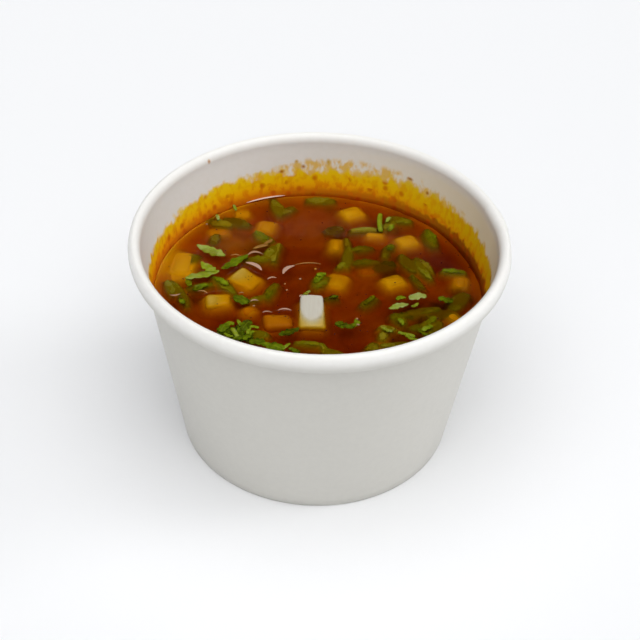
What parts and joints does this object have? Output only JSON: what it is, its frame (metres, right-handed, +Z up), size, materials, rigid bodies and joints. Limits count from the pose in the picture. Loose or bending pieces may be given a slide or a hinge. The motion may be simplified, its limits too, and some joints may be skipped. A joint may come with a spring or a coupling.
{
  "type": "paper cup of birria broth",
  "caption": "White paper soup cup with a rolled rim, two thirds full of dark red-brown birria broth with diced onion and chopped cilantro afloat.",
  "frame": {"origin": "middle of the foot ring, on the surface that the cup stands on", "axes": "+Z up along the cup's axis; -Y towards the side that the picture was taken from; +X to the picture's right"},
  "size_m": [0.096, 0.096, 0.0609],
  "materials": {
    "cup_paper": "satin, coated board",
    "broth": "wet, clear over a murky bed",
    "onion": "wet, translucent",
    "cilantro": "wet, satin"
  },
  "bodies": {
    "root": {"cup_wall": "cup_paper", "cup_base": "cup_paper", "broth": "broth", "onion_1": "onion", "onion_2": "onion", "onion_3": "onion", "onion_4": "onion", "onion_5": "onion", "onion_6": "onion", "onion_7": "onion", "cilantro_01": "cilantro", "cilantro_02": "cilantro", "cilantro_03": "cilantro", "cilantro_04": "cilantro", "cilantro_05": "cilantro", "cilantro_06": "cilantro", "cilantro_07": "cilantro", "cilantro_08": "cilantro", "cilantro_09": "cilantro", "cilantro_10": "cilantro", "cilantro_11": "cilantro", "cilantro_12": "cilantro", "cilantro_13": "cilantro", "cilantro_14": "cilantro", "cilantro_15": "cilantro", "cilantro_16": "cilantro", "cilantro_17": "cilantro", "cilantro_18": "cilantro", "cilantro_19": "cilantro", "cilantro_20": "cilantro", "cilantro_21": "cilantro", "cilantro_22": "cilantro", "cilantro_23": "cilantro", "cilantro_24": "cilantro", "cilantro_25": "cilantro", "cilantro_26": "cilantro", "cilantro_27": "cilantro", "cilantro_28": "cilantro", "cilantro_29": "cilantro", "cilantro_30": "cilantro", "cilantro_31": "cilantro", "cilantro_32": "cilantro", "cilantro_33": "cilantro", "cilantro_34": "cilantro", "cilantro_35": "cilantro", "cilantro_36": "cilantro", "cilantro_37": "cilantro", "cilantro_38": "cilantro"}
  },
  "joints": []
}
